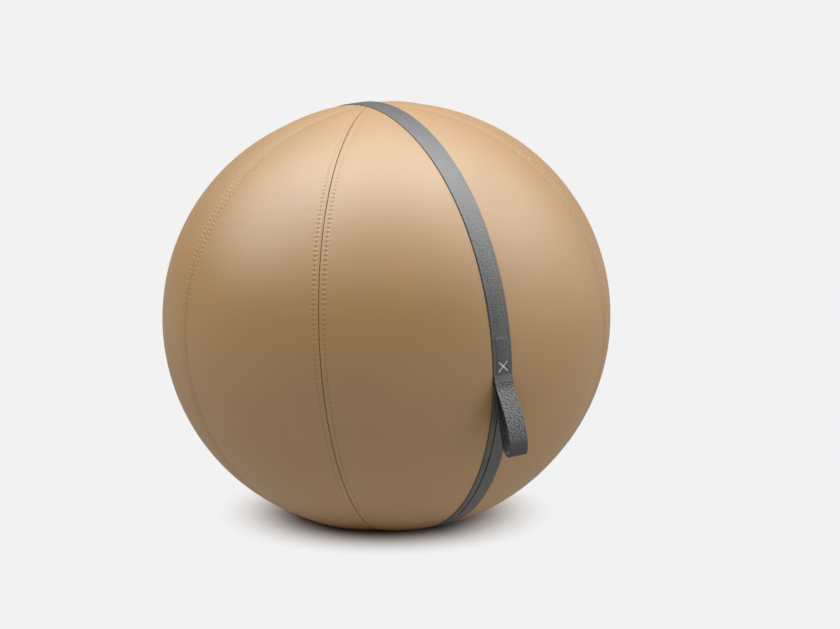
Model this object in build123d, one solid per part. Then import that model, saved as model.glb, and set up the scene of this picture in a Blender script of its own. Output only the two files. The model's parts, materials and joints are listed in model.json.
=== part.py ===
"""Sitting ball: a leather cover of eight panels over an air bladder, with a strap, a hidden zip and a loop.

Sizes are in millimetres. The origin is the centre of the flat patch the ball rests on, Z is up, and the
strap's end, the zip and the loop face -Y. Depths are measured inwards from the outside of the panels.
"""

import os
from functools import lru_cache
from math import cos, degrees, radians, sin, tan

from build123d import *

# Ball
BALL_WIDTH = 650.0
BALL_AXIS_HEIGHT = 624.6
SIDE_ARC_HALF_ANGLE = 60.0
FLOOR_SINK = 22.0
RIM_RADIUS = 70.0
LEAN_SIDEWAYS = 3.6
LEAN_BACK = 1.95

# Cover
PANEL_COUNT = 8
LEATHER = 2.0
PADDING = 3.2
LAYER_GAP = 0.1
SEAM_GAP = 0.4
SEAM_EDGE_ROUND = 1.2
SEAM_TAPE_WIDTH = 24.0
SEAM_TAPE = 0.6

# Strap and loop
STRAP_WIDTH = 29
STRAP_PROUD = 0.8
STRAP_SIDE_GAP = 0.3
STRAP_END_ANGLE = 8.6
STRAP_LIFT_LENGTH = 12.0
STRAP_LIFT_ANGLE = 18.0
STRAP_BACKING_WIDTH = 48.0
STRAP_BACKING = 1.0
LOOP_WIDTH = 27.5
LOOP_PLY = 2.1
LOOP_LENGTH = 99.0
LOOP_DEPTH = 29.0
LOOP_TAIL_LENGTH = 62.0
LOOP_CLEARANCE = 0.4

# Zip
ZIP_END_ANGLE = 58.0
ZIP_START_BELOW_STRAP = 14.0
ZIP_SLIT_OFFSET = -6.0
ZIP_SLIT = 1.0
ZIP_FLAP = 1.4
ZIP_FLAP_PROUD = 1.3
ZIP_FLAP_HEM = 7.0
ZIP_TAPE_GAP = 2.4
TOOTH_REACH = 2.9
TOOTH_OVERLAP = 0.9
TOOTH_THICKNESS = 2.0
TOOTH_PITCH = 3.0
TOOTH_PLAY = 0.2
STOP_LENGTH = 3.0
SLIDER_LENGTH = 12.0
SLIDER_WIDTH = 8.8
SLIDER_PLATE = 0.8
SLIDER_PLAY = 0.15
SLIDER_WALL = 1.0
SLIDER_POST_WIDTH = 1.8
SLIDER_POST_LENGTH = 2.5
TAB_LENGTH = 16.0
TAB_WIDTH = 5.6
TAB_NECK_WIDTH = 2.4
TAB_HEAD_WIDTH = 4.4
TAB_PLAY = 0.1
GUARD_WIDTH = 44.0
GUARD = 0.6

# Bladder and valve
BLADDER_WALL = 1.6
BLADDER_GAP = 0.3
VALVE_ANGLE = 36.0
VALVE_NECK = 18.0
VALVE_FLANGE = 32.0
VALVE_FLANGE_THICKNESS = 1.5
VALVE_LENGTH = 15.0
PLUG_HEAD = 14.0
PLUG_HEAD_THICKNESS = 1.2
PLUG_STEM = 9.0
PLUG_LENGTH = 13.0
VALVE_PLAY = 0.1

# The outline is a four-centre oval: a side arc at the equator runs smoothly into a cap arc at each pole.
equator = BALL_WIDTH / 2
pole = BALL_AXIS_HEIGHT / 2
half_angle = radians(SIDE_ARC_HALF_ANGLE)
centre_spread = (equator - pole) / (sin(half_angle) + cos(half_angle) - 1)
side_centre = centre_spread * cos(half_angle)
cap_centre = centre_spread * sin(half_angle)
side_radius = equator - side_centre
cap_radius = pole + cap_centre
reach = 2 * BALL_WIDTH

# The ball leans about the centre of its lower cap, so the resting patch stays a circle about the origin.
seam_axis = Vector(-tan(radians(LEAN_SIDEWAYS)), tan(radians(LEAN_BACK)), 1).normalized()
ball_centre = Vector(0, 0, cap_radius - FLOOR_SINK) - seam_axis * cap_centre
ball = Plane(ball_centre, x_dir=(1, 0, tan(radians(LEAN_SIDEWAYS))), z_dir=seam_axis).location

# Depths of the layers
strap_back = LEATHER
tape_front = LEATHER + LAYER_GAP
tape_back = tape_front + SEAM_TAPE
tape_middle = (tape_front + tape_back) / 2
tooth_front = tape_middle - TOOTH_THICKNESS / 2
tooth_back = tape_middle + TOOTH_THICKNESS / 2
slider_front = tooth_front - SLIDER_PLAY - SLIDER_PLATE
slider_back = tooth_back + SLIDER_PLAY + SLIDER_PLATE
padding_back = tape_front + PADDING
guard_back = padding_back
guard_front = guard_back - GUARD
tail_back = tape_front + LOOP_PLY
bladder_front = padding_back + BLADDER_GAP
bladder_back = bladder_front + BLADDER_WALL

# Places along the zip, as angles about the side arc's centre, measured down from the equator
per_mm = degrees(1 / side_radius)
lift_start = STRAP_END_ANGLE - STRAP_LIFT_LENGTH * per_mm
tail_start = STRAP_END_ANGLE - LOOP_TAIL_LENGTH * per_mm
strips_start = STRAP_END_ANGLE + ZIP_START_BELOW_STRAP * per_mm
zip_start = STRAP_END_ANGLE + LOOP_CLEARANCE * per_mm + LOOP_PLY * per_mm
stop_start = strips_start
slider_start = stop_start + (STOP_LENGTH + TOOTH_PLAY) * per_mm
teeth_start = slider_start + (SLIDER_POST_LENGTH + TOOTH_PLAY) * per_mm
bottom_stop_start = ZIP_END_ANGLE - 2 * STOP_LENGTH * per_mm


def to_row(shape):
    """Move a shape from the ball's own frame, centred on the ball, to the resting ball."""
    return ball * shape


@lru_cache(maxsize=None)
def body(depth):
    """The whole ball, moved in by a depth and flattened where the floor meets it."""
    cap = cap_radius - depth
    side = side_radius - depth
    cap_sweep = 90 - SIDE_ARC_HALF_ANGLE
    outline = CenterArc((0, cap_centre), cap, -90, cap_sweep)
    outline += CenterArc((side_centre, 0), side, -SIDE_ARC_HALF_ANGLE, 2 * SIDE_ARC_HALF_ANGLE)
    outline += CenterArc((0, -cap_centre), cap, SIDE_ARC_HALF_ANGLE, cap_sweep)
    outline += Line((0, cap - cap_centre), (0, cap_centre - cap))
    turned = revolve(Plane.XZ * make_face(outline), Axis.Z)
    floor = max(depth, 0)
    below_floor = Pos(0, 0, floor) * Box(reach, reach, reach, align=(Align.CENTER, Align.CENTER, Align.MAX))
    flattened = to_row(turned) - below_floor
    rim = flattened.faces().sort_by(Axis.Z)[0].edges()
    return fillet(rim, RIM_RADIUS - depth)


@lru_cache(maxsize=None)
def layer(front, back):
    """A skin of the ball between two depths."""
    return body(front) - body(back)


def wedge(start, stop, margin):
    """A lengthways wedge between two seams, with its sides moved in by a margin. Angles run from the front."""
    middle = radians((start + stop) / 2)
    away = margin / sin(radians(stop - start) / 2)
    tip = Vector(away * sin(middle), -away * cos(middle))
    corners = [tip + reach * Vector(sin(radians(a)), -cos(radians(a))) for a in (start, stop)]
    return to_row(extrude(make_face(Polyline(tip, *corners, close=True)), BALL_WIDTH, both=True))


def slab(left, right):
    """Everything between two planes parallel to the strap."""
    return to_row(Pos((left + right) / 2, 0, 0) * Box(right - left, reach, reach))


def sector(start, stop):
    """Everything between two angles about the side arc's centre."""
    hub = Vector(0, -side_centre, 0)
    rays = [hub + reach * Vector(0, -cos(radians(a)), -sin(radians(a))) for a in (start, stop)]
    return to_row(extrude(make_face(Polyline(hub, *rays, close=True)), BALL_WIDTH, dir=(1, 0, 0), both=True))


def along_zip(corners, start, stop):
    """Turn a closed section of (across, depth) corners along the zip between two angles."""
    hub = Axis((0, -side_centre, 0), (1, 0, 0))
    points = [(across, -side_centre - side_radius + depth, 0) for across, depth in corners]
    section = make_face(Polyline(*points, close=True))
    return to_row(revolve(section, hub, stop - start).rotate(hub, start))


def block(left, right, front, back, start, stop):
    """A rectangular section turned along the zip."""
    return along_zip([(left, front), (right, front), (right, back), (left, back)], start, stop)


def point_at(angle, depth):
    """The point of the strap's middle plane at an angle and depth, in the ball's own frame."""
    radius = side_radius - depth
    return Vector(0, -side_centre - radius * cos(radians(angle)), -radius * sin(radians(angle)))


def lifted(piece):
    """Tip the end of the strap outwards about the line where it leaves the ball."""
    pivot = to_row(Pos(*point_at(lift_start, tail_back))).position
    return piece.rotate(Axis(pivot, ball.x_axis.direction), -STRAP_LIFT_ANGLE)


def cover_panel(start, stop):
    """One leather panel, with its outer edges rolled in at the seams."""
    side = STRAP_WIDTH / 2 + STRAP_SIDE_GAP
    solid = body(0) & wedge(start, stop, SEAM_GAP / 2)
    solid -= slab(-side, side)
    walls = [f for f in solid.faces() if f.geom_type == GeomType.PLANE and f.center().Z > RIM_RADIUS]
    seam_edges = [e for f in walls for e in f.edges() if e.geom_type != GeomType.LINE]
    return fillet(seam_edges, SEAM_EDGE_ROUND) - body(LEATHER)


def panel_padding(start, stop):
    """The padding behind one panel, clear of the seam tapes and the strap's backing."""
    seam_margin = SEAM_TAPE_WIDTH / 2 + STRAP_SIDE_GAP
    strap_margin = STRAP_BACKING_WIDTH / 2 + STRAP_SIDE_GAP
    return (layer(tape_front, padding_back) & wedge(start, stop, seam_margin)) - slab(-strap_margin, strap_margin)


def seam_tape(angle):
    """The tape behind one seam, ending clear of the strap's backing and of the next tape."""
    half = SEAM_TAPE_WIDTH / 2
    strip = Rot(0, 0, angle) * Pos(0, -reach / 2, 0) * Box(SEAM_TAPE_WIDTH, reach, reach)
    clear = (STRAP_BACKING_WIDTH / 2 + half + STRAP_SIDE_GAP) / sin(radians(360 / PANEL_COUNT))
    around_pole = Cylinder(clear, reach)
    return layer(tape_front, tape_back) & to_row(strip - around_pole)


def strap():
    """The strap: round the whole ball but for the zip, with its end lifted over the loop."""
    half = STRAP_WIDTH / 2
    band = layer(-STRAP_PROUD, strap_back) & slab(-half, half)
    end = lifted(band & sector(lift_start, STRAP_END_ANGLE))
    return (band - sector(lift_start, ZIP_END_ANGLE)) + end


def loop_tail():
    """The loop's sewn end, lying under the strap and lifted with it."""
    half = LOOP_WIDTH / 2
    band = layer(tape_front, tail_back) & slab(-half, half)
    end = lifted(band & sector(lift_start, STRAP_END_ANGLE))
    return (band & sector(tail_start, lift_start)) + end


def strap_backing():
    """The tape behind the strap, from the loop's tail over the top and round to the zip's lower end."""
    half = STRAP_BACKING_WIDTH / 2
    band = layer(tape_front, tape_front + STRAP_BACKING) & slab(-half, half)
    return band - sector(tail_start - LOOP_CLEARANCE * per_mm, ZIP_END_ANGLE)


def loop_hinge():
    """Middle of the rounded top of the loop, just below the lifted ends of strap and tail."""
    lean = radians(STRAP_LIFT_ANGLE - lift_start)
    down = Vector(0, -sin(lean), -cos(lean))
    out = Vector(0, -cos(lean), sin(lean))
    stack = tail_back + STRAP_PROUD
    along = STRAP_LIFT_LENGTH + LOOP_CLEARANCE + LOOP_PLY
    return point_at(lift_start, tail_back) + down * along + out * stack / 2


def pull_loop():
    """A folded strip hanging as a drop: a straight back, a round foot and a bowed front."""
    back = [(0.05, 0.25), (0.12, 0.49), (0.18, 0.68), (0.31, 0.86), (0.55, 0.965)]
    foot = [(0.80, 0.985)]
    front = [(0.97, 0.91), (1.0, 0.78), (0.93, 0.61), (0.74, 0.44), (0.43, 0.25)]
    half = LOOP_PLY / 2
    middle = [(LOOP_DEPTH * out, LOOP_LENGTH * down) for out, down in back + foot + front]
    strip = Spline((-half, 0), *middle, (half, 0), tangents=((0.02, 1), (-0.35, -1)))
    steps = [i / 48 for i in range(49)]
    outer = []
    inner = []
    for step in steps:
        along = strip % step
        across = Vector(-along.Y, along.X, 0)
        outer.append(strip @ step + across * half)
        inner.append(strip @ step - across * half)
    side = make_face(Spline(*outer) + Line(outer[-1], inner[-1]) + Spline(*inner) + Line(inner[0], outer[0]))
    side += Circle(LOOP_PLY)
    plane = Plane(loop_hinge(), x_dir=(0, -1, 0), z_dir=(1, 0, 0))
    return to_row(extrude(plane * side, LOOP_WIDTH / 2, both=True))


def zip_flap():
    """The wide strip that hides the teeth: free at the slit, folded double where it is sewn down."""
    right = STRAP_WIDTH / 2
    left = ZIP_SLIT_OFFSET + ZIP_SLIT / 2
    free = layer(-ZIP_FLAP_PROUD, ZIP_FLAP - ZIP_FLAP_PROUD) & slab(left, right)
    hem = layer(-ZIP_FLAP_PROUD, strap_back) & slab(right - ZIP_FLAP_HEM, right)
    return (free + hem) & sector(strips_start, ZIP_END_ANGLE)


def zip_facing():
    """The narrow strip beside the slit."""
    strip = layer(-STRAP_PROUD, strap_back) & slab(-STRAP_WIDTH / 2, ZIP_SLIT_OFFSET - ZIP_SLIT / 2)
    return strip & sector(strips_start, ZIP_END_ANGLE)


def zip_half(side):
    """One tape with its row of teeth; side is 1 for the right half and -1 for the left."""
    inner = side * ZIP_TAPE_GAP / 2
    outer = side * STRAP_BACKING_WIDTH / 2
    half = layer(tape_front, tape_back) & slab(min(inner, outer), max(inner, outer))
    half = half & sector(zip_start, ZIP_END_ANGLE)
    tip = -side * TOOTH_OVERLAP
    root = side * TOOTH_REACH
    tooth_angle = (TOOTH_PITCH / 2 - TOOTH_PLAY) * per_mm
    first = teeth_start + (0 if side > 0 else TOOTH_PITCH / 2 * per_mm)
    count = int((bottom_stop_start - teeth_start) / (TOOTH_PITCH * per_mm)) - 1
    left, right = min(tip, root), max(tip, root)
    teeth = []
    for i in range(count):
        start = first + i * TOOTH_PITCH * per_mm
        teeth.append(block(left, right, tooth_front, tooth_back, start, start + tooth_angle))
    return half + teeth


def zip_stop(left, right, start, length):
    """A metal clip closed round the edge of the tape on one or both sides."""
    solid = block(left, right, tooth_front, tooth_back, start, start + length * per_mm)
    web = ZIP_TAPE_GAP / 2 - SLIDER_PLAY
    slot = block(web, reach, tape_front - SLIDER_PLAY, tape_back + SLIDER_PLAY, start, start + length * per_mm)
    other = block(-reach, -web, tape_front - SLIDER_PLAY, tape_back + SLIDER_PLAY, start, start + length * per_mm)
    return solid - slot - other


def slider_body():
    """Two plates joined by the post that parts the teeth, with walls that guide the teeth."""
    stop = slider_start + SLIDER_LENGTH * per_mm
    half = SLIDER_WIDTH / 2
    solid = block(-half, half, slider_front, slider_back, slider_start, stop)
    channel = half - SLIDER_WALL
    front = tooth_front - SLIDER_PLAY
    back = tooth_back + SLIDER_PLAY
    solid -= block(-channel, channel, front, back, slider_start, stop)
    slot_front = tape_front - SLIDER_PLAY
    slot_back = tape_back + 2 * SLIDER_PLAY
    solid -= block(-half, half, slot_front, slot_back, slider_start, stop)
    post_stop = slider_start + SLIDER_POST_LENGTH * per_mm
    post = SLIDER_POST_WIDTH / 2
    solid += block(-post, post, slider_front, slider_back, slider_start, post_stop)
    return solid - tab_shape(TAB_PLAY)


def tab_shape(play):
    """The tab and its hammer head, grown by a play."""
    slider_stop = slider_start + SLIDER_LENGTH * per_mm
    head_start = slider_stop - SLIDER_LENGTH / 2 * per_mm
    neck_start = slider_stop - SLIDER_LENGTH / 4 * per_mm
    grow = play * per_mm
    tab_start = slider_stop + TAB_PLAY * per_mm
    front = slider_front
    back = tooth_front - SLIDER_PLAY
    head_half = TAB_HEAD_WIDTH / 2 + play
    neck_half = TAB_NECK_WIDTH / 2 + play
    shape = block(-head_half, head_half, front, back, head_start - grow, neck_start + grow)
    shape += block(-neck_half, neck_half, front, back, head_start, tab_start + grow)
    return shape + block(-TAB_WIDTH / 2, TAB_WIDTH / 2, front, back, tab_start, tab_start + TAB_LENGTH * per_mm)


def zip_guard():
    """The strip between the teeth and the bladder."""
    half = GUARD_WIDTH / 2
    return layer(guard_front, guard_back) & slab(-half, half) & sector(zip_start, ZIP_END_ANGLE)


def valve_disc(diameter, front, back):
    """A round disc on the valve's axis between two depths."""
    outward = point_at(VALVE_ANGLE, 0) - point_at(VALVE_ANGLE, 1)
    plane = Plane(point_at(VALVE_ANGLE, back), z_dir=outward)
    return to_row(extrude(plane * Circle(diameter / 2), back - front))


valve_front = bladder_front + LAYER_GAP


def bladder():
    """The air ball, with the hole for its valve."""
    return layer(bladder_front, bladder_back) - valve_disc(VALVE_NECK + 2 * VALVE_PLAY, 0, bladder_back + VALVE_LENGTH)


def valve_seat():
    """A neck through the bladder's wall with a flange behind it, bored for the plug."""
    flange_sag = VALVE_FLANGE ** 2 / 8 / (side_radius - bladder_back)
    flange_front = bladder_back + LAYER_GAP + flange_sag
    seat = valve_disc(VALVE_NECK, valve_front, valve_front + VALVE_LENGTH)
    seat += valve_disc(VALVE_FLANGE, flange_front, flange_front + VALVE_FLANGE_THICKNESS)
    seat -= valve_disc(PLUG_HEAD + 2 * VALVE_PLAY, 0, valve_front + PLUG_HEAD_THICKNESS + LAYER_GAP)
    return seat - valve_disc(PLUG_STEM + 2 * VALVE_PLAY, 0, valve_front + 2 * VALVE_LENGTH)


def valve_plug():
    """The plug: a flat head sunk in the seat and a stem in its bore."""
    plug = valve_disc(PLUG_HEAD, valve_front, valve_front + PLUG_HEAD_THICKNESS)
    return plug + valve_disc(PLUG_STEM, valve_front, valve_front + PLUG_LENGTH)


parts = {
    "strap": strap(),
    "strap_backing": strap_backing(),
    "loop_tail": loop_tail(),
    "pull_loop": pull_loop(),
    "zip_flap": zip_flap(),
    "zip_facing": zip_facing(),
    "zip_half_left": zip_half(-1),
    "zip_half_right": zip_half(1),
    "zip_top_stop_left": zip_stop(-TOOTH_REACH, -TOOTH_OVERLAP / 2, stop_start, STOP_LENGTH),
    "zip_top_stop_right": zip_stop(TOOTH_OVERLAP / 2, TOOTH_REACH, stop_start, STOP_LENGTH),
    "zip_bottom_stop": zip_stop(-TOOTH_REACH, TOOTH_REACH, bottom_stop_start, STOP_LENGTH),
    "zip_guard": zip_guard(),
    "slider_body": slider_body(),
    "slider_tab": tab_shape(0),
    "bladder": bladder(),
    "valve_seat": valve_seat(),
    "valve_plug": valve_plug(),
}
panel_angle = 360 / PANEL_COUNT
for i in range(PANEL_COUNT):
    parts[f"cover_panel_{i + 1}"] = cover_panel(i * panel_angle, (i + 1) * panel_angle)
    parts[f"panel_padding_{i + 1}"] = panel_padding(i * panel_angle, (i + 1) * panel_angle)
sewn_seams = [i for i in range(PANEL_COUNT) if i % (PANEL_COUNT // 2)]
for number, i in enumerate(sewn_seams, 1):
    parts[f"seam_tape_{number}"] = seam_tape(i * panel_angle)

os.makedirs("parts", exist_ok=True)
for name, part in parts.items():
    export_step(part, f"parts/{name}.step")
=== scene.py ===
import json
import math

import bpy
import numpy as np
from mathutils import Matrix, Vector


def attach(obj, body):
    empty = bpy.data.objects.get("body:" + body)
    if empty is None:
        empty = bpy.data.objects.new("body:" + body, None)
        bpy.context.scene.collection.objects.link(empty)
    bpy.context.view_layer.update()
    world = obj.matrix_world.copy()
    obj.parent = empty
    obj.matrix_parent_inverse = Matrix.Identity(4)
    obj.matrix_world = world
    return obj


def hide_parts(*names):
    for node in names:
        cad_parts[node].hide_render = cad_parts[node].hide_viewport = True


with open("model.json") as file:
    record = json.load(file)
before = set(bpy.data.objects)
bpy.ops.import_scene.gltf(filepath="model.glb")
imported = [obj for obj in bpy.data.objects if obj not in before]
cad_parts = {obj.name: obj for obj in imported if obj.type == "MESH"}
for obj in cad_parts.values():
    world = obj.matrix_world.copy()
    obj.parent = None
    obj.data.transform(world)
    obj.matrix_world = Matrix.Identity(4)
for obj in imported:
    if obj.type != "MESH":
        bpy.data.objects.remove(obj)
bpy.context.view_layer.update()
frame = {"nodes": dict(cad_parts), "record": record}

# Sizes in millimetres; the strap is 0.4 mm wider on each side than its solid
BALL_HALF_WIDTH = 325.0
BALL_HALF_HEIGHT = 312.3
SIDE_ARC = math.radians(60)
FLOOR_SINK = 22.0
RIM_RADIUS = 70.0
LEAN_SIDEWAYS = math.radians(3.6)
LEAN_BACK = math.radians(1.95)
STRAP_HALF = 14.9
STRAP_GAP = 0.2
STRAP_END = math.radians(8.6)
ZIP_END = math.radians(58)
STITCH_PITCH = 6.8
STITCH_ROW = 7.4
STITCH_START = 40.0
SEAM_GAP = 0.42
PANEL_TURN = math.radians(45)

spread = (BALL_HALF_WIDTH - BALL_HALF_HEIGHT) / (math.sin(SIDE_ARC) + math.cos(SIDE_ARC) - 1)
side_centre = spread * math.cos(SIDE_ARC)
cap_centre = spread * math.sin(SIDE_ARC)
side_radius = BALL_HALF_WIDTH - side_centre
cap_radius = BALL_HALF_HEIGHT + cap_centre
cap_height = cap_radius - FLOOR_SINK
axis = np.array([-math.tan(LEAN_SIDEWAYS), math.tan(LEAN_BACK), 1.0])
axis /= np.linalg.norm(axis)
right = np.array([1.0, 0.0, math.tan(LEAN_SIDEWAYS)])
right /= np.linalg.norm(right)
to_row = np.stack([right, np.cross(axis, right), axis])
ball_centre = np.array([0, 0, cap_height]) - axis * cap_centre
patch_radius = math.sqrt((cap_radius - RIM_RADIUS) ** 2 - (cap_height - RIM_RADIUS) ** 2)
rim_outer = patch_radius * cap_radius / (cap_radius - RIM_RADIUS)


def smooth(x, low, high):
    """Smooth step from 0 at low to 1 at high."""
    t = np.clip((x - low) / (high - low), 0, 1)
    return t * t * (3 - 2 * t)


def bell(x, middle, width):
    """A bell curve of height 1."""
    return np.exp(-(((x - middle) / width) ** 2))


def meridian(slope):
    """Distance from the seam axis and height of the four-centre oval, by the slope angle of its normal."""
    side = np.abs(slope) <= SIDE_ARC
    radius = np.where(side, side_radius, cap_radius)
    across = np.where(side, side_centre, 0) + radius * np.cos(slope)
    height = np.where(side, 0, -np.sign(slope) * cap_centre) + radius * np.sin(slope)
    return across, height


def press(points, normals, out):
    """Move points to the row frame, flatten the lowest part on the floor with a rounded rim, and move
    them out along the normal by out."""
    p = points @ to_row + ball_centre
    n = normals @ to_row
    away = np.hypot(p[..., 0], p[..., 1])
    low = (away < rim_outer) & (p[..., 2] < cap_height)
    lean = np.clip((away - patch_radius) / RIM_RADIUS, 0, 1)
    flat = np.stack([p[..., 0] / np.maximum(away, 1e-6) * lean, p[..., 1] / np.maximum(away, 1e-6) * lean,
                     -np.sqrt(1 - lean ** 2)], -1)
    p[..., 2] = np.where(low, RIM_RADIUS * (1 - np.sqrt(1 - lean ** 2)), p[..., 2])
    n = np.where(low[..., None], flat, n)
    p = p + n * np.asarray(out)[..., None]
    p[..., 2] = np.maximum(p[..., 2], 0)
    return p


def on_ball(turn, slope, out):
    """Points at a turn about the seam axis from the front and a slope of the outline, moved out by out."""
    across, height = meridian(slope)
    points = np.stack([across * np.sin(turn), -across * np.cos(turn), height + 0 * turn], -1)
    flat = np.cos(slope)
    normals = np.stack([flat * np.sin(turn), -flat * np.cos(turn), np.sin(slope) + 0 * turn], -1)
    return press(points, normals, out + 0 * turn)


def on_strap(angle, across, out):
    """Points on the band that runs round the ball in the strap's plane: angle from the front equator upwards,
    across to the side, out from the ball, with the crown that a band takes on a ball."""
    back = (angle > math.pi / 2) & (angle < 1.5 * math.pi)
    slope = np.where(back, math.pi - angle, np.where(angle >= 1.5 * math.pi, angle - 2 * math.pi, angle))
    reach, height = meridian(slope)
    sign = np.where(back, 1, -1)
    points = np.stack([across + 0 * angle, sign * reach + 0 * across, height + 0 * across], -1)
    zero = 0 * (angle + across)
    normals = np.stack([zero, sign * np.cos(slope) + zero, np.sin(slope) + zero], -1)
    return press(points, normals, out - across ** 2 / 2 / BALL_HALF_WIDTH + zero)


def make_mesh(name, points, faces, material, painted_light=None):
    """A mesh object from points in millimetres and an array of quads, turned so that its faces look outwards;
    the painted light values (painted highlight and painted shade), where given, are kept for each point as an
    attribute named like that argument."""
    quads = np.concatenate(faces)
    flat = points.reshape(-1, 3)
    a, b, c, d = (flat[quads[:, k]] for k in range(4))
    volume = np.einsum("ij,ij->i", a, np.cross(b, c)).sum() + np.einsum("ij,ij->i", a, np.cross(c, d)).sum()
    if volume < 0:
        quads = quads[:, ::-1]
    mesh = bpy.data.meshes.new(name)
    mesh.vertices.add(len(flat))
    mesh.vertices.foreach_set("co", (flat * 0.001).astype(np.float32).ravel())
    mesh.loops.add(quads.size)
    mesh.loops.foreach_set("vertex_index", quads.astype(np.int32).ravel())
    mesh.polygons.add(len(quads))
    mesh.polygons.foreach_set("loop_start", np.arange(0, quads.size, 4, dtype=np.int32))
    mesh.polygons.foreach_set("use_smooth", np.ones(len(quads), dtype=bool))
    if painted_light is not None:
        kept = mesh.attributes.new("painted_light", "FLOAT", "POINT")
        kept.data.foreach_set("value", painted_light.astype(np.float32).ravel())
    mesh.update(calc_edges=True)
    mesh.validate()
    mesh.materials.append(material)
    obj = bpy.data.objects.new(name, mesh)
    bpy.context.scene.collection.objects.link(obj)
    return obj


def tube_faces(stations, ring, start=0, round_trip=False):
    """Quads of a closed section of ring points carried along stations; strips across close the ends."""
    i = np.arange(stations if round_trip else stations - 1)[:, None]
    j = np.arange(ring)[None, :]
    here, there = i * ring, (i + 1) % stations * ring
    after = (j + 1) % ring
    faces = [np.stack([here + j, here + after, there + after, there + j], -1).reshape(-1, 4) + start]
    if not round_trip:
        k = np.arange(ring // 2 - 1)
        for base, turn in ((0, 1), ((stations - 1) * ring, -1)):
            cap = np.stack([k, ring - 1 - k, ring - 2 - k, k + 1], -1) + base + start
            faces.append(cap[:, ::turn])
    return faces


def carry(name, stations, place, material):
    """A closed section carried along stations: place(station) gives the points of each ring."""
    points = place(stations[:, None])
    return make_mesh(name, points, tube_faces(len(stations), points.shape[1]), material)


# Materials

def new_material(name):
    """A new material, with its nodes and links."""
    material = bpy.data.materials.new(name)
    material.use_nodes = True
    return material, material.node_tree.nodes, material.node_tree.links


def leather(name, low, high, roughness, grain_size, grain, shine, valley=0.0, pebbling_and_painted_highlight=False):
    """Leather: cells of grain raise the surface, wide soft patches shift the colour a little, and the valleys
    between the grains are darker by the valley share; where the flag for the pebbled loop is set, a point
    attribute of painted light also scales the colour: painted highlight on the grain tops, painted shade on
    the loop's inner face. The shine is the index of refraction of the finish."""
    material, nodes, links = new_material(name)
    shader = nodes["Principled BSDF"]
    place = nodes.new("ShaderNodeTexCoord")
    cells = nodes.new("ShaderNodeTexVoronoi")
    cells.feature = "SMOOTH_F1"
    cells.inputs["Scale"].default_value = 1 / grain_size
    cells.inputs["Smoothness"].default_value = 0.35
    fine = nodes.new("ShaderNodeTexNoise")
    fine.inputs["Scale"].default_value = 0.35 / grain_size
    fine.inputs["Detail"].default_value = 5
    wide = nodes.new("ShaderNodeTexNoise")
    wide.inputs["Scale"].default_value = 9
    wide.inputs["Detail"].default_value = 4
    for texture in (cells, fine, wide):
        links.new(place.outputs["Object"], texture.inputs["Vector"])
    height = nodes.new("ShaderNodeMath")
    height.operation = "MULTIPLY_ADD"
    links.new(fine.outputs["Fac"], height.inputs[0])
    height.inputs[1].default_value = 0.5
    links.new(cells.outputs["Distance"], height.inputs[2])
    bump = nodes.new("ShaderNodeBump")
    bump.inputs["Strength"].default_value = grain
    bump.inputs["Distance"].default_value = 0.0004
    bump.invert = True
    links.new(height.outputs[0], bump.inputs["Height"])
    links.new(bump.outputs["Normal"], shader.inputs["Normal"])
    blend = nodes.new("ShaderNodeMix")
    blend.data_type = "RGBA"
    blend.inputs[6].default_value = (*low, 1)
    blend.inputs[7].default_value = (*high, 1)
    share = nodes.new("ShaderNodeMath")
    share.operation = "MULTIPLY_ADD"
    links.new(fine.outputs["Fac"], share.inputs[0])
    share.inputs[1].default_value = 0.35
    links.new(wide.outputs["Fac"], share.inputs[2])
    links.new(share.outputs[0], blend.inputs[0])
    colour = blend.outputs[2]
    if valley:
        depth = nodes.new("ShaderNodeMapRange")
        depth.inputs["From Min"].default_value = 0.25
        depth.inputs["From Max"].default_value = 0.75
        depth.inputs["To Min"].default_value = 1.0 + valley
        depth.inputs["To Max"].default_value = 1.0 - valley
        links.new(cells.outputs["Distance"], depth.inputs["Value"])
        share = depth.outputs["Result"]
        # Painted light from the point attribute: lighter painted highlight on the pebble tops, darker painted
        # shade inside the loop
        if pebbling_and_painted_highlight:
            painted_light = nodes.new("ShaderNodeAttribute")
            painted_light.attribute_name = "painted_light"
            highlight_and_shade_share = nodes.new("ShaderNodeMath")
            highlight_and_shade_share.operation = "MULTIPLY_ADD"
            links.new(painted_light.outputs["Fac"], highlight_and_shade_share.inputs[0])
            highlight_and_shade_share.inputs[1].default_value = 3.6
            links.new(share, highlight_and_shade_share.inputs[2])
            share = highlight_and_shade_share.outputs[0]
        tint = nodes.new("ShaderNodeVectorMath")
        tint.operation = "SCALE"
        links.new(colour, tint.inputs[0])
        links.new(share, tint.inputs["Scale"])
        colour = tint.outputs[0]
    links.new(colour, shader.inputs["Base Color"])
    shader.inputs["Roughness"].default_value = roughness
    shader.inputs["IOR"].default_value = shine
    return material


def plain(name, colour, roughness, metallic=0.0):
    """A plain finish with a faint mottle."""
    material, nodes, links = new_material(name)
    shader = nodes["Principled BSDF"]
    place = nodes.new("ShaderNodeTexCoord")
    noise = nodes.new("ShaderNodeTexNoise")
    noise.inputs["Scale"].default_value = 400
    links.new(place.outputs["Object"], noise.inputs["Vector"])
    blend = nodes.new("ShaderNodeMix")
    blend.data_type = "RGBA"
    blend.inputs[6].default_value = (*[c * 0.85 for c in colour], 1)
    blend.inputs[7].default_value = (*colour, 1)
    links.new(noise.outputs["Fac"], blend.inputs[0])
    links.new(blend.outputs[2], shader.inputs["Base Color"])
    shader.inputs["Roughness"].default_value = roughness
    shader.inputs["Metallic"].default_value = metallic
    return material


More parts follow.
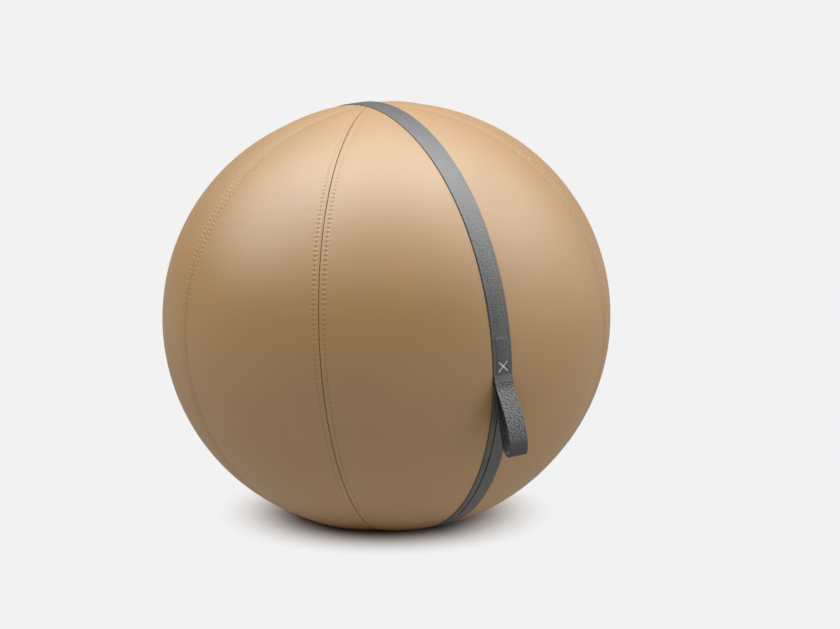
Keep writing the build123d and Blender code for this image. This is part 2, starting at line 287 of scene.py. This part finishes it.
tan = leather("tan_leather", (0.385, 0.217, 0.083), (0.433, 0.245, 0.094), 0.42, 0.0011, 0.25, 1.95)
grey = leather("grey_leather", (0.036, 0.038, 0.041), (0.052, 0.055, 0.058), 0.42, 0.0019, 0.9, 2.1, 0.35)
grey_pebbled = leather("grey_pebbled", (0.036, 0.038, 0.040), (0.050, 0.052, 0.054), 0.42, 0.0012, 0.5, 1.7,
                       0.15, True)
seam_thread = plain("seam_thread", (0.42, 0.24, 0.10), 0.6)
# Dark brown of the stitch holes: painted shade in the needle holes
seam_hole_shade = plain("seam_hole_shade", (0.22, 0.122, 0.05), 0.9)
tack_thread = plain("tack_thread", (0.72, 0.69, 0.64), 0.65)
inner_finish = {
    "padding": plain("padding", (0.64, 0.60, 0.53), 0.95),
    # The backing tape is dark so that it shows as painted shade in the narrow gaps between the panels
    "backing_tape": plain("backing_tape", (0.11, 0.06, 0.028), 0.9),
    "zip_tape": plain("zip_tape", (0.015, 0.015, 0.016), 0.9),
    "zip_metal": plain("zip_metal", (0.42, 0.36, 0.27), 0.35, 1.0),
    "bladder_rubber": plain("bladder_rubber", (0.17, 0.18, 0.2), 0.5),
    "plug_plastic": plain("plug_plastic", (0.7, 0.7, 0.68), 0.5),
    "grey_leather": grey,
    "tan_leather": tan,
}

# Cover panels
SLOPES = np.linspace(-math.pi / 2, math.pi / 2, 20001)
MERIDIAN = np.stack(meridian(SLOPES), -1)
LENGTHS = np.concatenate([[0], np.cumsum(np.hypot(*np.diff(MERIDIAN, axis=0).T))])


def cover_panel(name, start, stop):
    """One puffed panel between two seams: each cross-section rises in the middle, dips along the stitch row,
    swells a little between stitches and seam, and rolls in at its edges; its tips stop at the strap."""
    side = 1 if start + stop > 0 else -1
    first, last = sorted((abs(start), abs(stop)))
    nearest = min(max(math.pi / 2, first), last)
    edge = STRAP_HALF + STRAP_GAP
    tip = (edge + 0.4) / math.sin(nearest)
    stations = 820
    inside = LENGTHS[MERIDIAN[:, 0] > tip]
    along = np.linspace(inside[0], inside[-1], stations)
    slope = np.interp(along, LENGTHS, SLOPES)
    across = meridian(slope)[0]
    strap_turn = np.arcsin(np.minimum(edge / across, 1))
    low = np.maximum(first + SEAM_GAP / across, strap_turn)
    high = np.minimum(last - SEAM_GAP / across, math.pi - strap_turn)
    width = across * (high - low)
    fixed = np.array([0, .08, .25, .6, 1.3, 2.4, 3.6, 4.8, 5.8, 6.6, 7.4, 8.2, 9.2, 10.6, 13, 17, 24])
    squeeze = np.minimum(1, width / 2.2 / fixed[-1])[:, None]
    near = fixed[None, :] * squeeze
    part = np.linspace(0, 1, 12)[None, 1:-1]
    middle = near[:, -1:] + (width[:, None] - 2 * near[:, -1:]) * part
    outer = np.concatenate([near, middle, width[:, None] - near[:, ::-1]], 1)
    inner = width[:, None] * np.linspace(1, 0, outer.shape[1])[None, :]
    gap = np.minimum(outer, width[:, None] - outer)
    from_low = outer < width[:, None] / 2
    sewn_low = (first > strap_turn)[:, None]
    sewn_high = (last < math.pi - strap_turn)[:, None]
    sewn = np.where(from_low, sewn_low, sewn_high)
    full = np.minimum(1, width / 60)[:, None]
    roll = 0.7
    puff = 2.0
    sunk = 0.4 + 1.2 * full
    rise = -(roll - np.sqrt(np.maximum(roll ** 2 - np.maximum(roll - gap, 0) ** 2, 0)))
    rise += puff * full * np.sin(math.pi * outer / width[:, None]) ** 0.8 - sunk
    phase = (along[:, None] / STITCH_PITCH) % 1
    hole = bell(np.minimum(phase, 1 - phase), 0, 0.24)
    stitch = -0.62 * hole * bell(gap, STITCH_ROW, 2.3)
    swell = 0.3 * bell(gap, 3.4, 2.0) * (1 - 0.35 * hole)
    sway = 2.5 * np.sin(outer / 31) + 5 * np.sin(along[:, None] / 130)
    ripple = np.sin(2 * math.pi * along[:, None] / 24 + sway)
    ripple *= 0.07 * np.exp(-gap / 34) * smooth(gap, 8, 16)
    fade = full * (1 - smooth(gap / width[:, None], 0.2, 0.5))
    rise += fade * np.where(sewn, stitch + swell + ripple, 1.2 * np.exp(-gap / 25))
    turns = side * (low[:, None] + np.concatenate([outer, inner], 1) / across[:, None])
    depth = np.concatenate([rise, np.full_like(inner, -2.6)], 1)
    points = on_ball(turns, slope[:, None], depth)
    return make_mesh(name, points, tube_faces(stations, points.shape[1]), tan)


def seam_stitches(name, turn):
    """Two rows of short threads along one seam, each a small capsule laid in its dip, and the holes that
    the threads go down, each a small flat dark bead across the row that paints the shade in the hole."""
    inside = LENGTHS[MERIDIAN[:, 0] > STITCH_START]
    first, last = math.ceil(inside[0] / STITCH_PITCH), math.floor(inside[-1] / STITCH_PITCH)
    marks = np.arange(first, last) * STITCH_PITCH
    t = np.linspace(-1, 1, 6)
    ring = np.linspace(0, 2 * math.pi, 7)[:-1]
    thick = 0.46 * np.sqrt(np.maximum(1 - t ** 4, 0.02))
    pieces, faces, count = [], [], 0
    for row, hole in ((-1, False), (1, False), (-1, True), (1, True)):
        half = 0.95 if hole else 2.2
        along = (marks[:, None] + (0 if hole else STITCH_PITCH / 2) + half * t[None, :])[..., None]
        slope = np.interp(along, LENGTHS, SLOPES)
        across = meridian(slope)[0]
        shift = row * STITCH_ROW + (3.0 if hole else 1) * thick[None, :, None] * np.cos(ring)
        rise = -1.5 - 0.6 * t[None, :, None] ** 4 + thick[None, :, None] * np.sin(ring)
        if hole:
            rise = -1.93 + 0.5 * thick[None, :, None] * np.sin(ring) + 0 * along
        points = on_ball(turn + shift / across, slope + 0 * shift, rise + 0 * shift)
        block = tube_faces(len(t), len(ring))
        n = len(t) * len(ring)
        base = count + n * np.arange(len(marks))
        faces += [(f[None] + base[:, None, None]).reshape(-1, 4) for f in block]
        pieces.append(points.reshape(-1, 3))
        count += n * len(marks)
    threads = sum(len(f) for f in faces[:len(faces) // 2])
    obj = make_mesh(name, np.concatenate(pieces), faces, seam_thread)
    obj.data.materials.append(seam_hole_shade)
    kinds = np.arange(len(obj.data.polygons)) >= threads
    obj.data.polygons.foreach_set("material_index", kinds.astype(np.int32))
    return obj


# Strap, zip strips and loop

def strip_section(left, right, front, back, edge, crown):
    """Closed section of a leather strip as (across, out): rounded edges, a low crown and a slight bead inside
    each edge."""
    t = np.linspace(0, math.pi / 2, 7)
    half = (right - left) / 2
    middle = (right + left) / 2
    inside = np.linspace(-1, 1, 31)[1:-1] * (half - edge)
    top = np.concatenate([-half + edge * (1 - np.cos(t)), inside, half - edge * (1 - np.cos(t[::-1]))])
    lip = np.concatenate([edge * (np.sin(t) - 1), 0 * inside, edge * (np.sin(t[::-1]) - 1)])
    lift = crown * (1 - (top / half) ** 2) + 0.22 * bell(np.abs(top), half - 1.8, 1.0)
    bottom = top[::-1]
    out = np.concatenate([front + lip + lift, np.full(len(bottom), back)])
    return np.concatenate([top, bottom]) + middle, out


def make_strap():
    """The strap, round the ball from its lifted end over the top to the zip's lower end; the sewn tail of the
    loop shows through it as a low relief, and a row of stitch dips crosses its end."""
    across, out = strip_section(-STRAP_HALF, STRAP_HALF, 0.8, -2.0, 0.8, 0.25)
    near = np.linspace(0, 60, 90)
    far = np.linspace(60, side_radius * (2 * math.pi - ZIP_END + STRAP_END) - 12, 900)[1:]
    run = np.concatenate([near, far]) / side_radius
    angle = np.linspace(-STRAP_END, 2 * math.pi - ZIP_END, 4000)
    angle = np.interp(run, np.linspace(0, run[-1], 4000), angle)

    def place(station):
        away = (station + STRAP_END) * side_radius
        lift = 4.5 * np.clip(1 - away / 15, 0, 1) ** 1.6
        tail = 0.7 * (1 - smooth(np.abs(across), 9.0, 10.4))
        tail = tail * (1 - smooth(away, 60, 64)) * smooth(away, 8, 20)
        edge = -0.9 * np.clip(1 - away / 0.9, 0, 1) ** 2 * (out > 0)
        dips = bell((across / 3.72 + 0.5) % 1, 0.5, 0.28) * (np.abs(across) < 12.5)
        row = -0.45 * bell(away, 10.5, 0.9) * dips
        return on_strap(station, across, out + lift + (tail + row) * (out > 0) + edge)

    return carry("strap_leather", angle, place, grey)


def zip_strip(name, left, right, front, back):
    """One strip of the zip band, from below the loop to the zip's lower end."""
    across, out = strip_section(left, right, front, back, 0.6, 0.1)
    start = STRAP_END + 3 / side_radius
    angle = np.linspace(2 * math.pi - start, 2 * math.pi - ZIP_END, 260)

    def place(station):
        sink = 1.1 * (1 - smooth(2 * math.pi - station - start, 0, 14 / side_radius))
        return on_strap(station, across, out - sink)

    return carry(name, angle, place, grey)


def pebbles(u, v, size):
    """Height of rounded grains about a size apart: distance to the nearest point of a jittered grid."""
    best = np.full(np.broadcast(u, v).shape, 9.0)
    gu, gv = np.floor(u / size), np.floor(v / size)
    for i in (-1, 0, 1):
        for j in (-1, 0, 1):
            cu, cv = gu + i, gv + j
            a = np.sin(cu * 127.1 + cv * 311.7) * 43758.5453
            b = np.sin(cu * 269.5 + cv * 183.3) * 43758.5453
            du = cu + 0.5 + 0.6 * (a - np.floor(a) - 0.5) - u / size
            dv = cv + 0.5 + 0.6 * (b - np.floor(b) - 0.5) - v / size
            best = np.minimum(best, du ** 2 + dv ** 2)
    return 1 - np.sqrt(best)


LOOP_HINGE = np.array([0.0, -324.302, -47.340])
LOOP_PLY = 2.1
LOOP_HALF_WIDTH = 14.1


def loop_path():
    """Middle line of the folded strip in the strap's plane, as (out, down) from the hinge: straight back,
    round foot, bowed front and the closed top, by a smooth curve through the points."""
    shape = np.array([(0.05, 0.25), (0.12, 0.49), (0.18, 0.68), (0.31, 0.86), (0.55, 0.965), (0.80, 0.985),
                      (0.97, 0.91), (1.0, 0.78), (0.93, 0.61), (0.74, 0.44), (0.43, 0.25)]) * (29.0, 99.0)
    half = LOOP_PLY / 2 + 0.02
    top = np.array([(half, 0.0), (0.0, -half), (-half, 0.0)])
    points = np.concatenate([[(-half + 0.1, 8.0)], shape, [(2.7, 6.5)], top])
    n = len(points)
    step = np.sqrt(np.hypot(*(np.roll(points, -1, 0) - points).T))
    out = []
    for i in range(n):
        p0, p1, p2, p3 = points[i - 1], points[i], points[(i + 1) % n], points[(i + 2) % n]
        d0, d1, d2 = step[i - 1], step[i], step[(i + 1) % n]
        m1 = (p1 - p0) / d0 - (p2 - p0) / (d0 + d1) + (p2 - p1) / d1
        m2 = (p2 - p1) / d1 - (p3 - p1) / (d1 + d2) + (p3 - p2) / d2
        t = np.linspace(0, 1, 60, endpoint=False)[:, None]
        out.append((2 * t ** 3 - 3 * t ** 2 + 1) * p1 + (t ** 3 - 2 * t ** 2 + t) * d1 * m1
                   + (3 * t ** 2 - 2 * t ** 3) * p2 + (t ** 3 - t ** 2) * d1 * m2)
    path = np.concatenate(out)
    closed = np.vstack([path, path[:1]])
    length = np.concatenate([[0], np.cumsum(np.hypot(*np.diff(closed, axis=0).T))])
    even = np.linspace(0, length[-1], 460, endpoint=False)
    return np.stack([np.interp(even, length, closed[:, k]) for k in (0, 1)], -1), even


def make_loop():
    """The pull loop: a rounded strip section carried round the drop-shaped path, with pebbled grain, painted
    highlight on the grain tops of its upper front and painted shade on its inner face.
    """
    path, even = loop_path()
    along = np.roll(path, -1, 0) - np.roll(path, 1, 0)
    along /= np.linalg.norm(along, axis=1)[:, None]
    outward = np.stack([-along[:, 1], along[:, 0]], -1)
    edge = 0.7
    t = np.linspace(0, math.pi / 2, 6)
    inside = np.linspace(-1, 1, 47)[1:-1] * (LOOP_HALF_WIDTH - edge)
    bend = edge * (1 - np.cos(t))
    top = np.concatenate([-LOOP_HALF_WIDTH + bend, inside, LOOP_HALF_WIDTH - bend[::-1]])
    half = LOOP_PLY / 2
    lip = np.concatenate([edge * (np.sin(t) - 1), 0 * inside, edge * (np.sin(t[::-1]) - 1)])
    across = np.concatenate([top, top[::-1]])
    face = np.concatenate([np.ones(len(top)), -np.ones(len(top))])
    rise = np.concatenate([half + lip, -half - lip[::-1]])
    # Upper front of the loop, where the grain is raised more and its tops get painted highlight; it fades out
    # towards the downward-facing foot
    pebbling_and_painted_highlight = smooth(path[:, 0], 0.9, 1.6) * (1 - smooth(path[:, 1], 72, 80))
    lean = across[None, :] + 40 * face + 0.35 * even[:, None]
    cells = pebbles(even[:, None], lean * 0.72, 2.5)
    grain = (0.15 + 0.75 * pebbling_and_painted_highlight[:, None]) * (cells - 0.75)
    flat = np.minimum(1, (LOOP_HALF_WIDTH - np.abs(across)) / 2.0)
    root = smooth(np.hypot(*path.T), 1.2, 3)[:, None]
    rise = rise[None, :] + np.minimum(grain, 0.05) * flat[None, :] * face[None, :] * root
    shift = path[:, None, :] + outward[:, None, :] * rise[..., None]
    local = LOOP_HINGE + np.stack([across[None, :] + 0 * rise, -shift[..., 0], -shift[..., 1]], -1)
    points = local @ to_row + ball_centre
    # Painted light for each point: painted highlight on the pebble tops of the upper front, painted shade on
    # the whole inner face
    painted_light = pebbling_and_painted_highlight[:, None] * (face > 0)[None, :] * smooth(cells, 0.5, 0.95) - 0.14 * (face < 0)[None, :]
    faces = tube_faces(len(path), len(across), 0, True)
    return make_mesh("pull_loop_leather", points, faces, grey_pebbled, painted_light)


def cross_tack():
    """A crossed pair of thread bars that holds the loop's tail under the strap."""
    t = np.linspace(-1, 1, 25)
    ring = np.linspace(0, 2 * math.pi, 13)[:-1]
    thick = np.sqrt(np.maximum(1 - t ** 8, 0.03))
    pieces, faces = [], []
    for k, lean in enumerate((math.radians(45), math.radians(-45))):
        run = 11.0 * t[:, None]
        side = 1.2 * thick[:, None] * np.cos(ring)
        across = run * math.sin(lean) + side * math.cos(lean)
        up = run * math.cos(lean) - side * math.sin(lean)
        rise = 1.35 + 0.2 * k * bell(t, 0, 0.3)[:, None] + 0.45 * thick[:, None] * np.sin(ring)
        pieces.append(on_strap(math.radians(-4.4) + up / side_radius, across, rise).reshape(-1, 3))
        faces += tube_faces(len(t), len(ring), k * len(t) * len(ring))
    return make_mesh("loop_tack", np.concatenate(pieces), faces, tack_thread)


def dress(obj, body, slot, *nodes):
    """Let a piece ride on a body and stand for CAD nodes; the slot is not used."""
    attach(obj, body)
    if nodes:
        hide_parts(*nodes)


for number in range(1, 9):
    start = PANEL_TURN * (number - 1 if number <= 4 else number - 9)
    panel = cover_panel(f"cover_panel_{number}_leather", start, start + PANEL_TURN)
    dress(panel, "ball", "tan_leather", f"cover_panel_{number}")
for number, turn in enumerate((45, 90, 135, 225, 270, 315), 1):
    dress(seam_stitches(f"seam_stitches_{number}", math.radians(turn)), "ball", "tan_leather")
dress(make_strap(), "ball", "grey_leather", "strap")
dress(zip_strip("zip_flap_leather", -5.4, STRAP_HALF, 1.3, -0.3), "ball", "grey_leather", "zip_flap")
dress(zip_strip("zip_facing_leather", -STRAP_HALF, -6.4, 0.8, -2.0), "ball", "grey_leather", "zip_facing")
dress(make_loop(), "loop", "grey_leather", "pull_loop")
dress(cross_tack(), "ball", "grey_leather")
for entry in frame["record"]["subparts"]:
    node = frame["nodes"][entry["node"]]
    node.data.materials.clear()
    node.data.materials.append(inner_finish[entry["material_slot"]])

# Floor, light and camera
VIEW_TURN = math.radians(29.6)
VIEW_RISE = math.radians(11.29)
VIEW_DISTANCE = 4.407
level_back = Vector((-math.sin(VIEW_TURN), -math.cos(VIEW_TURN), 0))
back = level_back * math.cos(VIEW_RISE) + Vector((0, 0, math.sin(VIEW_RISE)))
sideways = Vector((math.cos(VIEW_TURN), -math.sin(VIEW_TURN), 0))

FLOOR_GLOW = 0.888
FLOOR_BOUNCE = 0.62
FLOOR_GLOSS = 0.36
FLOOR_PALE = 0.8
# How far from the middle, in metres, the shadow is full and where it has gone into the even tone
SHADOW_FULL = 0.13
SHADOW_GONE = 0.26
floor_mesh = bpy.data.meshes.new("floor")
floor_mesh.from_pydata([(-40, -40, 0), (40, -40, 0), (40, 40, 0), (-40, 40, 0)], [], [(0, 1, 2, 3)])
floor = bpy.data.objects.new("floor", floor_mesh)
bpy.context.scene.collection.objects.link(floor)
floor_material, nodes, links = new_material("floor")
nodes["Principled BSDF"].inputs["Base Color"].default_value = (FLOOR_PALE, FLOOR_PALE, FLOOR_PALE, 1)
nodes["Principled BSDF"].inputs["Roughness"].default_value = 1.0
nodes["Principled BSDF"].inputs["Specular IOR Level"].default_value = 0.0
glow = nodes.new("ShaderNodeEmission")
ray = nodes.new("ShaderNodeLightPath")
colour = None
for ray_kind, tone in (("Is Glossy Ray", FLOOR_GLOSS), ("Is Camera Ray", FLOOR_GLOW)):
    choice = nodes.new("ShaderNodeMix")
    choice.data_type = "RGBA"
    choice.inputs[6].default_value = (FLOOR_BOUNCE * 1.05, FLOOR_BOUNCE, FLOOR_BOUNCE * 0.86, 1)
    choice.inputs[7].default_value = (tone, tone, tone, 1)
    links.new(ray.outputs[ray_kind], choice.inputs[0])
    if colour:
        links.new(colour, choice.inputs[6])
    colour = choice.outputs[2]
links.new(colour, glow.inputs["Color"])
place = nodes.new("ShaderNodeTexCoord")
distance = nodes.new("ShaderNodeVectorMath")
distance.operation = "LENGTH"
links.new(place.outputs["Object"], distance.inputs[0])
fade = nodes.new("ShaderNodeMapRange")
fade.interpolation_type = "SMOOTHSTEP"
fade.inputs["From Min"].default_value = SHADOW_FULL
fade.inputs["From Max"].default_value = SHADOW_GONE
links.new(distance.outputs["Value"], fade.inputs["Value"])
both = nodes.new("ShaderNodeMixShader")
links.new(fade.outputs["Result"], both.inputs[0])
links.new(nodes["Principled BSDF"].outputs[0], both.inputs[1])
links.new(glow.outputs[0], both.inputs[2])
links.new(both.outputs[0], nodes["Material Output"].inputs["Surface"])
floor_mesh.materials.append(floor_material)


# Each soft light: direction as right, towards the camera and up, cosine where its edge begins and ends,
# and strength
LIGHTS = [
    ((0.0, -0.1, 1.0), 0.80, 0.98, 2.2),
    ((-0.65, -0.1, 0.75), 0.78, 0.98, 2.0),
    ((0.6, -0.1, 0.8), 0.78, 0.98, 1.45),
    ((1.0, -0.1, 0.1), 0.55, 0.95, 1.0),
    ((0.0, -1.0, 0.3), 0.50, 0.98, 0.2),
    ((0.0, 0.0, 1.0), 0.20, 0.80, 0.82),
]
AMBIENT = 0.02


def studio_world():
    """Soft light from all round: each light is a smooth spot on the sky, added to a faint even light."""
    world = bpy.data.worlds.new("studio")
    bpy.context.scene.world = world
    world.use_nodes = True
    nodes, links = world.node_tree.nodes, world.node_tree.links
    place = nodes.new("ShaderNodeTexCoord")
    total = None
    for direction, edge, full, strength in LIGHTS:
        toward = nodes.new("ShaderNodeVectorMath")
        toward.operation = "DOT_PRODUCT"
        links.new(place.outputs["Generated"], toward.inputs[0])
        aim = sideways * direction[0] + level_back * direction[1] + Vector((0, 0, direction[2]))
        toward.inputs[1].default_value = aim.normalized()
        spot = nodes.new("ShaderNodeMapRange")
        spot.interpolation_type = "SMOOTHSTEP"
        spot.inputs["From Min"].default_value = edge
        spot.inputs["From Max"].default_value = full
        spot.inputs["To Max"].default_value = strength
        links.new(toward.outputs["Value"], spot.inputs["Value"])
        add = nodes.new("ShaderNodeMath")
        links.new(spot.outputs["Result"], add.inputs[0])
        if total is None:
            add.inputs[1].default_value = AMBIENT
        else:
            links.new(total, add.inputs[1])
        total = add.outputs[0]
    ray = nodes.new("ShaderNodeLightPath")
    seen = nodes.new("ShaderNodeMix")
    links.new(ray.outputs["Is Camera Ray"], seen.inputs[0])
    links.new(total, seen.inputs[2])
    seen.inputs[3].default_value = FLOOR_GLOW
    nodes["Background"].inputs["Color"].default_value = (1, 1, 1, 1)
    links.new(seen.outputs[0], nodes["Background"].inputs["Strength"])


studio_world()
camera_data = bpy.data.cameras.new("camera")
camera = bpy.data.objects.new("camera", camera_data)
bpy.context.scene.collection.objects.link(camera)
bpy.context.scene.camera = camera
camera_data.sensor_fit = "HORIZONTAL"
camera_data.sensor_width = 36
camera_data.lens = 129.8
camera_data.clip_end = 200
upward = back.cross(sideways)
aim = Vector(ball_centre * 0.001) + sideways * 0.0484 + upward * 0.0029
turned = Matrix((sideways, upward, back)).transposed().to_4x4()
camera.matrix_world = Matrix.Translation(aim + back * VIEW_DISTANCE) @ turned

bpy.context.scene.view_settings.view_transform = "Standard"
